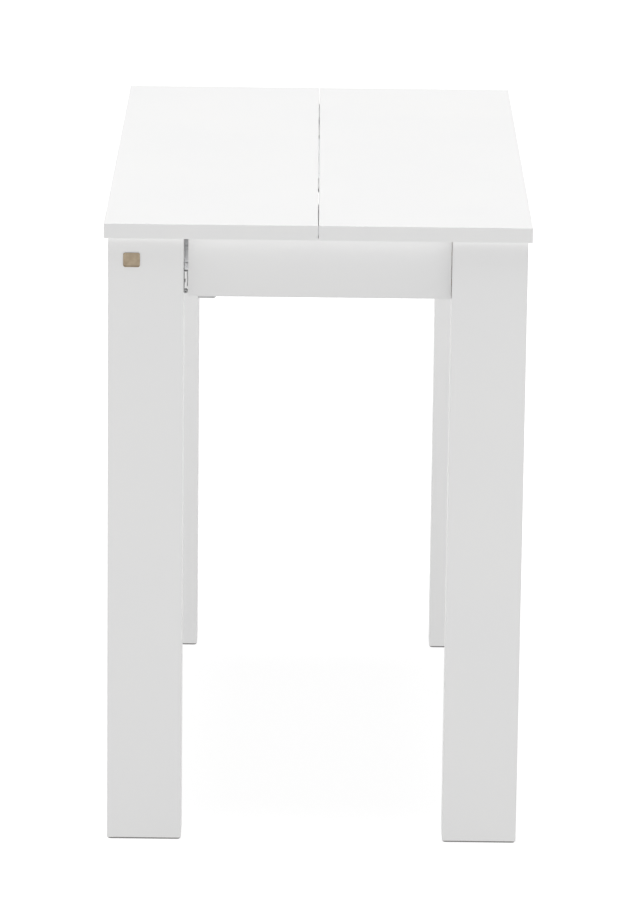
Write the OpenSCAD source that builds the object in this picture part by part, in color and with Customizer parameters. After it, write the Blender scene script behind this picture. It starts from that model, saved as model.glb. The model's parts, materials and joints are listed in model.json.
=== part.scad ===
// Extending console table: two half tops that meet at a lengthwise seam, each on two legs.
// The halves slide apart on two sets of nested aluminium runners. Millimetres, +Z up, the
// origin on the floor under the middle of the closed table. The seam runs along Y, the
// table opens along X, and the left half (-X) is the one that moves.

/* [Table] */
// Width of the closed table, across both half tops
closed_w = 510; // [490:1:560]
// Length of the half tops, along the seam
top_l = 900; // [800:5:1200]
// Height from the floor to the top face
table_h = 770; // [720:1:800]
// Slit between the closed half tops
seam_gap = 1; // [0.6:0.1:2]
// How far the tops stand out past the legs
overhang = 5; // [0:0.5:10]
// Thickness of every board
board_t = 18; // [18:0.5:22]

/* [Legs] */
// Width of a leg, seen from the front
leg_w = 90; // [80:1:95]
// Depth of a leg, along the seam
leg_d = 50; // [45:1:60]
// Thickness of the pad under each leg
foot_t = 2; // [1:0.5:5]
// How far a pad stands in from the leg's faces
foot_inset = 1; // [0.5:0.5:5]

/* [Aprons and rails] */
// Height of the short aprons and the long rails
apron_h = 73; // [68:1:90]
// How far the aprons and rails stand back from the legs' outer faces
apron_recess = 12; // [8:1:14]
// Open gap between a short apron and the left leg
apron_gap = 5; // [4:0.5:8]
// Hairline joint between a short apron and the right leg
apron_seam = 0.5; // [0.2:0.1:1]
// Room over a short apron, for the left top to slide across it
slide_clear = 1; // [0.5:0.1:2]

/* [Runners] */
// Travel of each member in the one before it
stage_travel = 300; // [200:5:310]
// Thickness of one member, along the seam
member_w = 24; // [20:0.5:26]
// Height of one member
member_h = 56; // [52:1:60]
// Wall of the hollow members
member_wall = 2.5; // [1.5:0.1:3]
// Space between neighbouring members
member_gap = 1.5; // [0.8:0.1:2]
// Running clearance of a glide in its groove
glide_clear = 0.3; // [0.2:0.05:0.5]
// Distance from the end of the tops to the outer face of a set
runner_inset = 105; // [100:1:115]
// Height of the hanger plates between a member and its top
hanger_t = 4; // [4:0.5:6]

/* [Badge] */
// Width of the badge plate on the front left leg
badge_w = 20; // [14:0.5:30]
// Height of the badge plate
badge_h = 17.5; // [12:0.5:24]

/* [Hidden] */
$fn = 48;

// Every shape is drawn where x and y are positive (the back right corner) and mirrored.
RIGHT = 1;
LEFT = -1;
BACK = 1;
FRONT = -1;
ends = [FRONT, BACK];

// Board faces
half_w = closed_w / 2;
half_l = top_l / 2;
under_z = table_h - board_t;
leg_x1 = half_w - overhang;
leg_x0 = leg_x1 - leg_w;
leg_y1 = half_l - overhang;
leg_y0 = leg_y1 - leg_d;
rail_x1 = leg_x1 - apron_recess;
rail_x0 = rail_x1 - board_t;
apron_y1 = leg_y1 - apron_recess;
apron_y0 = apron_y1 - board_t;
apron_z0 = under_z - apron_h;
apron_left = -leg_x0 + apron_gap;

// Alignment tongues across the seam
tongue_l = 65;
tongue_t = 5;
tongue_y = 171.5;
tongue_cover = 5;
tongue_in = 20;
tongue_out = 16;
tongue_clear = 0.3;
tongue_z1 = table_h - tongue_cover;

// Cam connectors: one cam, its bolt and two dowels at each board joint
joint_z = apron_z0 + apron_h / 2;
cam_d = 15;
cam_depth = 12.5;
cam_back = 34;
cam_bolt_d = 6;
cam_bolt_head_d = 7;
cam_bolt_head_l = 4;
cam_bolt_shank_d = 5;
cam_bolt_l = 33;
cam_bolt_thread = 11;
cam_bore_d = 7.4;
cam_slot_w = 2;
cam_slot_l = 9;
cam_slot_depth = 3;
dowel_d = 8;
dowel_in_leg = 15;
dowel_in_rail = 20;
dowel_pitch = 18;

// Angle brackets and their screws
bracket_w = 40;
bracket_arm = 40;
bracket_t = 2.5;
bracket_hole_x = 10;
bracket_hole_out = 28;
leg_bracket_in = 30;
leg_bracket_x = leg_x0 + leg_bracket_in;
apron_bracket_x = 60;
screw_d = 4;
screw_l = 14;
screw_head_d = 8;
screw_head_h = 2;
socket_d = 3;
socket_depth = 1.2;

// Runner sets: member 1 is screwed to the right top and the last one to the left top
members = 5;
runner_y = half_l - runner_inset;
member_end_gap = 4;
member_l = 2 * (rail_x0 - member_end_gap);
member_z1 = under_z - hanger_t;
member_z0 = member_z1 - member_h;
groove_z = (member_z0 + member_z1) / 2;
groove_mouth = 2;
groove_neck_h = 8;
groove_head_h = 16;
groove_head_t = 3;
groove_depth = groove_mouth + groove_head_t + 2 * glide_clear;
glide_l = 50;
glide_peg_d = 6;
glide_peg_l = 4;
stop_l = 8;
stop_clear = 0.5;
hanger_w = 30;
hanger_reach = 20;
hanger_l = member_w + hanger_reach;
// Places of the hanger plates, from the seam
hanger_xs = [45, 135];
hanger_hole_x = 8;
hanger_hole_y = member_w + hanger_reach / 2;
hanger_screw_l = 13;
csk_d = 9;
csk_depth = 2;
csk_screw_d = 5;
csk_screw_l = 12;

// Apron stays
stay_in = 11.5;
stay_x0 = apron_left + stay_in;
stay_w = 22.5;
stay_t = 2.5;
stay_drop = 6.5;
stay_plate_h = 38;
stay_chamfer = 3;
stay_screw_rise = 22;
stay_screw_pitch = 12;
stay_screw_l = 8;

// Spring clips on the left legs, in the gaps beside the short aprons
clip_h = 19;
clip_rise = 11.5;
clip_z0 = apron_z0 + clip_rise;
clip_l = 7;
clip_inset = 1;
clip_wall = 1;
clip_clear = 0.3;
clip_screw_d = 2.5;
clip_screw_l = 9;
clip_screw_head_d = 4.5;
clip_screw_head_h = 1;
clip_eye_drop = 6;
clip_eye_bore_d = 1.8;

// Badge plate
badge_t = 0.8;
badge_r = 2.5;
badge_rim = 0.9;
badge_relief = 0.25;
badge_in = 28;
badge_drop = 27;

eps = 0.01;
WHITE = "white";
ALLOY = [0.72, 0.73, 0.75];
STEEL = [0.5, 0.51, 0.53];
NYLON = [0.25, 0.25, 0.26];
BEECH = [0.8, 0.65, 0.45];

// ---- placing ----

module quadrant(side, end) {
    mirror([side < 0 ? 1 : 0, 0, 0])
        mirror([0, end < 0 ? 1 : 0, 0])
            children();
}

// Local +Z runs into the leg, and local -X faces the inside of the table.
module at_rail_joint() {
    translate([rail_x0 + board_t / 2, leg_y0, joint_z])
        rotate([-90, 0, 0])
            children();
}

module at_apron_joint() {
    translate([leg_x0, apron_y0 + board_t / 2, joint_z])
        rotate([90, 0, 90])
            children();
}

module at_leg_bracket() {
    translate([leg_bracket_x, leg_y0, under_z])
        children();
}

module at_apron_bracket() {
    translate([apron_bracket_x, apron_y0, under_z])
        children();
}

// ---- cam connector ----

module cam() {
    translate([-board_t / 2, 0, -cam_back])
        rotate([0, 90, 0])
            difference() {
                cylinder(d = cam_d, h = cam_depth);
                translate([-cam_slot_l / 2, -cam_slot_w / 2, -eps])
                    cube([cam_slot_l, cam_slot_w, cam_slot_depth]);
                translate([0, 0, board_t / 2])
                    rotate([0, -90, 0])
                        cylinder(d = cam_bore_d, h = cam_d);
            }
}

module cam_bolt() {
    translate([0, 0, -cam_bolt_l])
        cylinder(d = cam_bolt_head_d, h = cam_bolt_head_l);
    translate([0, 0, -cam_bolt_l])
        cylinder(d = cam_bolt_shank_d, h = cam_bolt_l);
    cylinder(d = cam_bolt_d, h = cam_bolt_thread);
}

module dowels() {
    for (y = [-dowel_pitch, dowel_pitch])
        translate([0, y, -dowel_in_rail])
            cylinder(d = dowel_d, h = dowel_in_rail + dowel_in_leg);
}

module leg_joint_holes() {
    translate([0, 0, -eps])
        cylinder(d = cam_bolt_d, h = cam_bolt_thread + eps);
    dowels();
}

module rail_joint_holes() {
    translate([0, 0, -cam_back])
        cylinder(d = cam_bore_d, h = cam_back + eps);
    translate([-board_t / 2 - eps, 0, -cam_back])
        rotate([0, 90, 0])
            cylinder(d = cam_d, h = cam_depth + eps);
    dowels();
}

// ---- screws and brackets ----

module pan_screw(length) {
    difference() {
        union() {
            translate([0, 0, -screw_head_h])
                cylinder(d = screw_head_d, h = screw_head_h);
            cylinder(d = screw_d, h = length);
        }
        translate([0, 0, -screw_head_h - eps])
            cylinder(d = socket_d, h = socket_depth, $fn = 6);
    }
}

// Screw places of an angle bracket: corner at the origin, one arm down the board behind
// it (at y = 0) and one arm along the top's underside (at z = 0).
module at_bracket_screws() {
    for (x = [-bracket_hole_x, bracket_hole_x]) {
        translate([x, -bracket_t, -bracket_hole_out])
            rotate([-90, 0, 0])
                children();
        translate([x, -bracket_hole_out, -bracket_t])
            children();
    }
}

module bracket_holes() {
    at_bracket_screws()
        cylinder(d = screw_d, h = screw_l);
}

module angle_bracket() {
    difference() {
        translate([-bracket_w / 2, -bracket_arm, -bracket_arm])
            cube([bracket_w, bracket_arm, bracket_arm]);
        translate([-bracket_w, -bracket_arm - bracket_t, -bracket_arm - bracket_t])
            cube([2 * bracket_w, bracket_arm, bracket_arm]);
        at_bracket_screws()
            translate([0, 0, -eps])
                cylinder(d = screw_d, h = screw_l);
    }
}

// ---- tops ----

// Screw places of a hanger plate, from the plate's inner edge over the member
module at_hanger_screws() {
    for (x = [-hanger_hole_x, hanger_hole_x])
        translate([x, hanger_hole_y, -hanger_t])
            children();
}

// Hanger plates of the fixed member (right top) reach outward, those of the last member
// (left top) reach inward.
module at_right_hangers() {
    for (x = hanger_xs)
        translate([x, member_y(1), under_z])
            children();
}

module at_left_hangers() {
    for (x = hanger_xs)
        translate([x, member_y(members) + member_w, under_z])
            mirror([0, 1, 0])
                children();
}

module half_top() {
    difference() {
        translate([seam_gap / 2, -half_l, under_z])
            cube([half_w - seam_gap / 2, top_l, board_t]);
        for (end = ends)
            quadrant(RIGHT, end)
                at_leg_bracket()
                    bracket_holes();
        children();
    }
}

module top_right() {
    color(WHITE)
        half_top()
            for (end = ends)
                quadrant(RIGHT, end) {
                    translate([0, tongue_y - tongue_l / 2, tongue_z1 - tongue_t])
                        cube([tongue_in, tongue_l, tongue_t]);
                    at_apron_bracket()
                        bracket_holes();
                    at_right_hangers()
                        at_hanger_screws()
                            cylinder(d = screw_d, h = hanger_screw_l);
                }
}

module top_left() {
    slot_l = tongue_l + 2 * tongue_clear;
    slot_t = tongue_t + 2 * tongue_clear;
    color(WHITE)
        quadrant(LEFT, BACK)
            half_top()
                for (end = ends)
                    quadrant(RIGHT, end) {
                        translate([0, tongue_y - slot_l / 2, tongue_z1 - tongue_t - tongue_clear])
                            cube([tongue_out + tongue_clear, slot_l, slot_t]);
                        at_left_hangers()
                            at_hanger_screws()
                                cylinder(d = screw_d, h = hanger_screw_l);
                    }
}

module tongue(end) {
    color(WHITE)
        quadrant(RIGHT, end)
            translate([-tongue_out, tongue_y - tongue_l / 2, tongue_z1 - tongue_t])
                cube([tongue_out + tongue_in, tongue_l, tongue_t]);
}

// ---- legs, rails and aprons ----

module leg() {
    difference() {
        translate([leg_x0, leg_y0, foot_t])
            cube([leg_w, leg_d, under_z - foot_t]);
        at_rail_joint()
            leg_joint_holes();
        at_leg_bracket()
            bracket_holes();
        children();
    }
}

module leg_right(end) {
    color(WHITE)
        quadrant(RIGHT, end)
            leg()
                at_apron_joint()
                    leg_joint_holes();
}

module leg_left(end) {
    color(WHITE)
        quadrant(LEFT, end)
            leg()
                at_clip_screw()
                    cylinder(d = clip_screw_d, h = clip_screw_l);
}

module foot(side, end) {
    color(NYLON)
        quadrant(side, end)
            translate([leg_x0 + foot_inset, leg_y0 + foot_inset, 0])
                cube([leg_w - 2 * foot_inset, leg_d - 2 * foot_inset, foot_t]);
}

module long_rail(side) {
    color(WHITE)
        quadrant(side, BACK)
            difference() {
                translate([rail_x0, -leg_y0, apron_z0])
                    cube([board_t, 2 * leg_y0, apron_h]);
                for (end = ends)
                    quadrant(RIGHT, end)
                        at_rail_joint()
                            rail_joint_holes();
            }
}

module apron(end) {
    color(WHITE)
        quadrant(RIGHT, end)
            difference() {
                translate([apron_left, apron_y0, apron_z0])
                    cube([leg_x0 - apron_seam - apron_left, board_t, apron_h - slide_clear]);
                at_apron_joint()
                    rail_joint_holes();
                at_apron_bracket()
                    bracket_holes();
                at_stay_apron_screws()
                    cylinder(d = screw_d, h = screw_l);
            }
}

// ---- apron stay: ties the free end of a short apron to the fixed runner member ----

module at_stay_apron_screws() {
    for (x = [-stay_screw_pitch / 2, stay_screw_pitch / 2])
        translate([stay_x0 + stay_w / 2 + x, apron_y0 - stay_t, apron_z0 + stay_screw_rise])
            rotate([-90, 0, 0])
                children();
}

module at_stay_member_screw() {
    translate([stay_x0 + stay_w / 2, member_y(1) + member_w / 2, member_z0 - stay_t])
        children();
}

module apron_stay(end) {
    arm_y0 = member_y(1) + stop_clear;
    color(STEEL)
        quadrant(RIGHT, end)
            difference() {
                union() {
                    translate([stay_x0, apron_y0, apron_z0 - stay_drop])
                        rotate([90, 0, 0])
                            linear_extrude(stay_t)
                                polygon([
                                    [0, 0], [stay_w - stay_chamfer, 0], [stay_w, stay_chamfer],
                                    [stay_w, stay_plate_h], [0, stay_plate_h]
                                ]);
                    translate([stay_x0, arm_y0, member_z0 - stay_t])
                        cube([stay_w, apron_y0 - arm_y0, stay_t]);
                }
                at_stay_apron_screws()
                    translate([0, 0, -eps])
                        cylinder(d = screw_d, h = screw_l);
                at_stay_member_screw()
                    translate([0, 0, -eps])
                        cylinder(d = screw_d, h = screw_l);
            }
}

module stay_screws() {
    color(STEEL)
        for (end = ends)
            quadrant(RIGHT, end) {
                at_stay_apron_screws()
                    pan_screw(screw_l);
                at_stay_member_screw()
                    pan_screw(stay_screw_l + stay_t);
            }
}

// ---- hardware groups of each half ----

module apron_brackets() {
    color(STEEL)
        for (end = ends)
            quadrant(RIGHT, end)
                at_apron_bracket()
                    angle_bracket();
}

module leg_brackets(side) {
    color(STEEL)
        for (end = ends)
            quadrant(side, end)
                at_leg_bracket()
                    angle_bracket();
}

module bracket_screws(side) {
    color(STEEL)
        for (end = ends)
            quadrant(side, end) {
                at_leg_bracket()
                    at_bracket_screws()
                        pan_screw(screw_l);
                if (side == RIGHT)
                    at_apron_bracket()
                        at_bracket_screws()
                            pan_screw(screw_l);
            }
}

// One child at every cam joint of a half: two rail ends, and on the right two apron ends
module at_joints(side) {
    for (end = ends)
        quadrant(side, end) {
            at_rail_joint()
                children();
            if (side == RIGHT)
                at_apron_joint()
                    children();
        }
}

module cam_locks(side) {
    color(STEEL)
        at_joints(side)
            cam();
}

module cam_bolts(side) {
    color(STEEL)
        at_joints(side)
            cam_bolt();
}

module dowel_group(side) {
    color(BEECH)
        at_joints(side)
            dowels();
}

// ---- runners ----

// Inner face of member k, counted from the outside of the set
function member_y(k) = runner_y - k * member_w - (k - 1) * member_gap;

// Groove outline: y across the member, z up, with the mouth on the inner face
module groove_outline(slack) {
    neck = groove_neck_h + 2 * slack;
    head = groove_head_h + 2 * slack;
    translate([-eps, -neck / 2])
        square([groove_mouth + 2 * eps, neck]);
    translate([groove_mouth, -head / 2])
        square([groove_depth - groove_mouth, head]);
}

// Hollow extrusion: a chamber above and below the groove and one behind it
module member_profile() {
    web = 2 * member_wall;
    head = groove_head_h + 2 * glide_clear;
    end_h = (member_h - head) / 2 - web;
    difference() {
        translate([0, -member_h / 2])
            square([member_w, member_h]);
        groove_outline(glide_clear);
        for (z = [-member_h / 2 + member_wall, head / 2 + member_wall])
            translate([member_wall, z])
                square([member_w - web, end_h]);
        translate([groove_depth + member_wall, -head / 2])
            square([member_w - groove_depth - web, head]);
    }
}

module along_x(length) {
    rotate([90, 0, 90])
        linear_extrude(length)
            children();
}

// Left ends of the two glides on a member, when the table is closed
function glide_xs() = [
    -member_l / 2 + stop_l + stop_clear + stage_travel,
    member_l / 2 - glide_l
];

module at_glide_pegs(k) {
    for (x = glide_xs())
        translate([x + glide_l / 2, member_y(k) + member_w, groove_z])
            rotate([90, 0, 0])
                children();
}

module runner(k, end) {
    color(ALLOY)
        quadrant(RIGHT, end)
            difference() {
                translate([-member_l / 2, member_y(k), 0])
                    along_x(member_l)
                        translate([0, groove_z])
                            member_profile();
                if (k > 1)
                    at_glide_pegs(k)
                        translate([0, 0, -eps])
                            cylinder(d = glide_peg_d, h = glide_peg_l + eps);
                if (k == 1) {
                    at_stay_member_screw()
                        cylinder(d = screw_d, h = stay_screw_l + stay_t);
                    at_right_hangers()
                        at_hanger_member_screw()
                            cylinder(d = csk_screw_d, h = csk_screw_l);
                }
                if (k == members)
                    quadrant(LEFT, BACK)
                        at_left_hangers()
                            at_hanger_member_screw()
                                cylinder(d = csk_screw_d, h = csk_screw_l);
            }
}

// Two nylon glides on the outer face of member k, running in the groove of member k - 1
module glides(k) {
    neck_l = member_gap + groove_mouth + glide_clear;
    for (x = glide_xs())
        translate([x, member_y(k) + member_w, groove_z])
            along_x(glide_l) {
                translate([0, -groove_neck_h / 2])
                    square([neck_l + eps, groove_neck_h]);
                translate([neck_l, -groove_head_h / 2])
                    square([groove_head_t, groove_head_h]);
            }
    at_glide_pegs(k)
        translate([0, 0, -eps])
            cylinder(d = glide_peg_d, h = glide_peg_l + eps);
}

module glide_pair(k, end) {
    color(NYLON)
        quadrant(RIGHT, end)
            glides(k);
}

// Nylon block that closes the left end of member k's groove
module stop_block(k, end) {
    color(NYLON)
        quadrant(RIGHT, end)
            translate([-member_l / 2, member_y(k), groove_z])
                along_x(stop_l)
                    intersection() {
                        groove_outline(glide_clear);
                        translate([0, -member_h / 2])
                            square([member_w, member_h]);
                    }
}

// The nylon parts of one middle member: its two glides and the stop in its groove
module glide_set(k, end) {
    glide_pair(k, end);
    stop_block(k, end);
}

// Countersunk screw from a hanger plate down into its member
module at_hanger_member_screw() {
    translate([0, member_w / 2, 0])
        rotate([180, 0, 0])
            children();
}

module csk_screw() {
    difference() {
        union() {
            cylinder(d1 = csk_d, d2 = csk_screw_d, h = csk_depth);
            cylinder(d = csk_screw_d, h = csk_screw_l);
        }
        translate([0, 0, -eps])
            cylinder(d = socket_d, h = socket_depth, $fn = 6);
    }
}

module hanger_plate() {
    difference() {
        translate([-hanger_w / 2, 0, -hanger_t])
            cube([hanger_w, hanger_l, hanger_t]);
        at_hanger_screws()
            translate([0, 0, -eps])
                cylinder(d = screw_d, h = hanger_screw_l);
        at_hanger_member_screw()
            csk_hole();
    }
}

module csk_hole() {
    open = 1;
    translate([0, 0, -eps])
        cylinder(d = csk_screw_d, h = csk_screw_l);
    cylinder(d1 = csk_d, d2 = csk_screw_d, h = csk_depth);
    translate([0, 0, -open])
        cylinder(d = csk_d, h = open + eps / 10);
}

module hangers_right() {
    color(STEEL)
        for (end = ends)
            quadrant(RIGHT, end)
                at_right_hangers()
                    hanger_plate();
}

module hangers_left() {
    color(STEEL)
        for (end = ends)
            quadrant(LEFT, end)
                at_left_hangers()
                    hanger_plate();
}

module hanger_screw_set() {
    at_hanger_screws()
        pan_screw(hanger_screw_l);
    at_hanger_member_screw()
        csk_screw();
}

module hanger_screws_right() {
    color(STEEL)
        for (end = ends)
            quadrant(RIGHT, end)
                at_right_hangers()
                    hanger_screw_set();
}

module hanger_screws_left() {
    color(STEEL)
        for (end = ends)
            quadrant(LEFT, end)
                at_left_hangers()
                    hanger_screw_set();
}

// ---- gap clips ----

// Strip folded to an upside-down U, whose wall on the leg runs on down into a rolled eye.
// X is 0 at the leg's face and negative towards the apron; y is height.
module clip_outline() {
    outer = apron_gap - clip_clear;
    difference() {
        translate([-outer, 0])
            square([outer, clip_h]);
        translate([clip_wall - outer, -eps])
            square([outer - 2 * clip_wall, clip_h - clip_wall]);
    }
    difference() {
        union() {
            translate([-clip_wall, -clip_eye_drop])
                square([clip_wall, clip_eye_drop + eps]);
            translate([-outer / 2, -clip_eye_drop])
                circle(d = outer);
        }
        translate([-outer / 2, -clip_eye_drop])
            circle(d = clip_eye_bore_d);
    }
}

module gap_clip(end) {
    color(STEEL)
        quadrant(LEFT, end)
            difference() {
                translate([leg_x0, apron_y1 - clip_inset, clip_z0])
                    rotate([90, 0, 0])
                        linear_extrude(clip_l)
                            clip_outline();
                at_clip_screw()
                    translate([0, 0, -clip_wall])
                        cylinder(d = clip_screw_d, h = clip_screw_l);
            }
}

// From the clip's inner wall into the leg
module at_clip_screw() {
    translate([leg_x0 - clip_wall, apron_y1 - clip_inset - clip_l / 2, clip_z0 + clip_h / 3])
        rotate([0, 90, 0])
            children();
}

module clip_screws() {
    color(STEEL)
        for (end = ends)
            quadrant(LEFT, end)
                at_clip_screw() {
                    cylinder(d = clip_screw_d, h = clip_screw_l);
                    translate([0, 0, -clip_screw_head_h])
                        cylinder(d = clip_screw_head_d, h = clip_screw_head_h);
                }
}

// ---- badge ----

module rounded_rect(w, h, r) {
    square([w - 2 * r, h], center = true);
    square([w, h - 2 * r], center = true);
    for (x = [r - w / 2, w / 2 - r])
        for (y = [r - h / 2, h / 2 - r])
            translate([x, y])
                circle(r = r);
}

module badge_plate() {
    color([0.55, 0.47, 0.38])
        translate([badge_in - leg_x1, -leg_y1, under_z - badge_drop])
            rotate([90, 0, 0])
                difference() {
                    linear_extrude(badge_t)
                        rounded_rect(badge_w, badge_h, badge_r);
                    translate([0, 0, badge_t - badge_relief])
                        linear_extrude(badge_t)
                            rounded_rect(
                                badge_w - 2 * badge_rim,
                                badge_h - 2 * badge_rim,
                                badge_r - badge_rim
                            );
                }
}

// ---- nodes ----

top_right();
leg_right(FRONT);  // leg_front_right
leg_right(BACK);  // leg_back_right
foot(RIGHT, FRONT);  // foot_front_right
foot(RIGHT, BACK);  // foot_back_right
long_rail(RIGHT);  // long_rail_right
apron(FRONT);  // apron_front
apron(BACK);  // apron_back
apron_stay(FRONT);  // apron_stay_front
apron_stay(BACK);  // apron_stay_back
apron_brackets();
leg_brackets(RIGHT);  // leg_brackets_right
cam_locks(RIGHT);  // cam_locks_right
cam_bolts(RIGHT);  // cam_bolts_right
dowel_group(RIGHT);  // dowels_right
bracket_screws(RIGHT);  // bracket_screws_right
stay_screws();
tongue(FRONT);  // tongue_front
tongue(BACK);  // tongue_back
runner(1, FRONT);  // runner_front_1
runner(1, BACK);  // runner_back_1
hangers_right();
hanger_screws_right();
union() {  // stops_right
    stop_block(1, FRONT);
    stop_block(1, BACK);
}
runner(2, FRONT);  // runner_front_2
glide_set(2, FRONT);  // glide_set_front_2
runner(3, FRONT);  // runner_front_3
glide_set(3, FRONT);  // glide_set_front_3
runner(4, FRONT);  // runner_front_4
glide_set(4, FRONT);  // glide_set_front_4
runner(2, BACK);  // runner_back_2
glide_set(2, BACK);  // glide_set_back_2
runner(3, BACK);  // runner_back_3
glide_set(3, BACK);  // glide_set_back_3
runner(4, BACK);  // runner_back_4
glide_set(4, BACK);  // glide_set_back_4
top_left();
leg_left(FRONT);  // leg_front_left
leg_left(BACK);  // leg_back_left
foot(LEFT, FRONT);  // foot_front_left
foot(LEFT, BACK);  // foot_back_left
long_rail(LEFT);  // long_rail_left
leg_brackets(LEFT);  // leg_brackets_left
cam_locks(LEFT);  // cam_locks_left
cam_bolts(LEFT);  // cam_bolts_left
dowel_group(LEFT);  // dowels_left
bracket_screws(LEFT);  // bracket_screws_left
runner(members, FRONT);  // runner_front_5
runner(members, BACK);  // runner_back_5
union() {  // glides_left
    glide_pair(members, FRONT);
    glide_pair(members, BACK);
}
hangers_left();
hanger_screws_left();
gap_clip(FRONT);  // gap_clip_front
gap_clip(BACK);  // gap_clip_back
clip_screws();
badge_plate();
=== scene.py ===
"""Looks of the extending console table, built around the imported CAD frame.

Everything is in metres in the table's own frame: +Z up, +X to the right, +Y along the seam,
away from the front legs. Places and sizes come from the boxes of the CAD nodes.
"""

import json
import math

import bmesh
import bpy
from mathutils import Matrix, Vector


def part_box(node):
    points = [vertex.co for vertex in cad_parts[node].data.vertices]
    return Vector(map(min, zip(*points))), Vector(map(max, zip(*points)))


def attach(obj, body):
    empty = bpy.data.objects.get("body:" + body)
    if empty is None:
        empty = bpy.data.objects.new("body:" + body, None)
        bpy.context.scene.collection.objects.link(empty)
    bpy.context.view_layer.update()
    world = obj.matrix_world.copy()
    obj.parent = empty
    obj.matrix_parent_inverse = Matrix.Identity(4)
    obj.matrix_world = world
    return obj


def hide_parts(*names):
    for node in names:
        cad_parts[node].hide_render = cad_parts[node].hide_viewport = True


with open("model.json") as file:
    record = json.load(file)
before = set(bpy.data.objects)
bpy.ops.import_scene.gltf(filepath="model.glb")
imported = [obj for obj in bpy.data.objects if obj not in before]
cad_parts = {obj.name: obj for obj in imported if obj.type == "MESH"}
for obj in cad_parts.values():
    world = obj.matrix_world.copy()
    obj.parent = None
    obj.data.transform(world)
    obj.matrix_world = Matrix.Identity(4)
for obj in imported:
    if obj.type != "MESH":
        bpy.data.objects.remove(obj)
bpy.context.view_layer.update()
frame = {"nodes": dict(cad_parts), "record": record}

MM = 0.001

# ---------------------------------------------------------------- small geometry helpers


def side_axis(side):
    """Axis index and sign of a side named like "-x"."""
    return "xyz".index(side[1]), -1 if side[0] == "-" else 1


def new_object(name, mesh, *materials):
    piece = bpy.data.objects.new(name, mesh)
    bpy.context.scene.collection.objects.link(piece)
    for material in materials:
        mesh.materials.append(material)
    return piece


def mesh_from(bm, name):
    mesh = bpy.data.meshes.new(name)
    bmesh.ops.recalc_face_normals(bm, faces=bm.faces)
    bm.to_mesh(mesh)
    bm.free()
    return mesh


def box_bmesh(lo, hi):
    bm = bmesh.new()
    bmesh.ops.create_cube(bm, size=1.0)
    for v in bm.verts:
        v.co = Vector([lo[i] + (v.co[i] + 0.5) * (hi[i] - lo[i]) for i in range(3)])
    return bm


def bevel(bm, edges, radius, segments):
    bmesh.ops.bevel(bm, geom=list(edges), offset=radius, offset_type="OFFSET",
                    segments=segments, profile=0.5, affect="EDGES", clamp_overlap=True)


def on_plane(edge, axis, value, slack=1e-6):
    return all(abs(v.co[axis] - value) < slack for v in edge.verts)


def smooth(piece):
    """Smooth shading that stays flat over the wide faces."""
    for polygon in piece.data.polygons:
        polygon.use_smooth = True
    modifier = piece.modifiers.new("normals", "WEIGHTED_NORMAL")
    modifier.keep_sharp = True
    modifier.weight = 90
    return piece


def apply_modifiers(piece):
    graph = bpy.context.evaluated_depsgraph_get()
    mesh = bpy.data.meshes.new_from_object(piece.evaluated_get(graph))
    piece.modifiers.clear()
    piece.data = mesh
    return piece


def cut(piece, cutters):
    """Subtracts the cutters. The cut faces keep the cutter's material."""
    for i, cutter in enumerate(cutters):
        modifier = piece.modifiers.new(f"cut{i}", "BOOLEAN")
        modifier.operation = "DIFFERENCE"
        modifier.solver = "EXACT"
        modifier.material_mode = "TRANSFER"
        modifier.object = cutter
    bpy.context.view_layer.update()
    return apply_modifiers(piece)


def drop(objects):
    for o in objects:
        bpy.data.objects.remove(o)


def solids_of(node):
    """Corners and vertices of each separate solid in a CAD node, in a fixed order."""
    mesh = frame["nodes"][node].data
    groups = {}
    parent = {}

    def find(a):
        while parent[a] != a:
            parent[a] = parent[parent[a]]
            a = parent[a]
        return a

    keys = [tuple(round(c * 1e6) for c in v.co) for v in mesh.vertices]
    for key in keys:
        parent.setdefault(key, key)
    for edge in mesh.edges:
        a, b = (find(keys[i]) for i in edge.vertices)
        if a != b:
            parent[a] = b
    for key, vertex in zip(keys, mesh.vertices):
        groups.setdefault(find(key), []).append(vertex.co.copy())
    solids = []
    for points in groups.values():
        lo = Vector([min(p[i] for p in points) for i in range(3)])
        hi = Vector([max(p[i] for p in points) for i in range(3)])
        solids.append((lo, hi, points))
    return sorted(solids, key=lambda s: tuple(round(c, 5) for c in s[0]))


def head_frame(solid):
    """Matrix of a screw-like solid: local Z runs from its head's outer face into the shank."""
    lo, hi, points = solid
    size = hi - lo
    gaps = [abs(size[(i + 1) % 3] - size[(i + 2) % 3]) for i in range(3)]
    axis = gaps.index(min(gaps))
    centre = (lo + hi) / 2
    others = [i for i in range(3) if i != axis]

    def reach(level):
        near = [p for p in points if abs(p[axis] - level) < 0.1 * MM]
        return max(math.hypot(*(p[i] - centre[i] for i in others)) for p in near)

    at_low = reach(lo[axis]) >= reach(hi[axis])
    z = Vector([0, 0, 0])
    z[axis] = 1 if at_low else -1
    x = Vector([0, 0, 0])
    x[others[0]] = 1
    y = z.cross(x)
    start = centre.copy()
    start[axis] = lo[axis] if at_low else hi[axis]
    rows = [[x[i], y[i], z[i], start[i]] for i in range(3)] + [[0, 0, 0, 1]]
    return Matrix(rows)


def copies(name, master, matrices, material):
    """One piece made of a copy of the master mesh at each matrix."""
    bm = bmesh.new()
    for matrix in matrices:
        before = len(bm.verts)
        bm.from_mesh(master)
        bm.verts.ensure_lookup_table()
        bmesh.ops.transform(bm, matrix=matrix, verts=bm.verts[before:])
    return smooth(new_object(name, mesh_from(bm, name), material))


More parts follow.
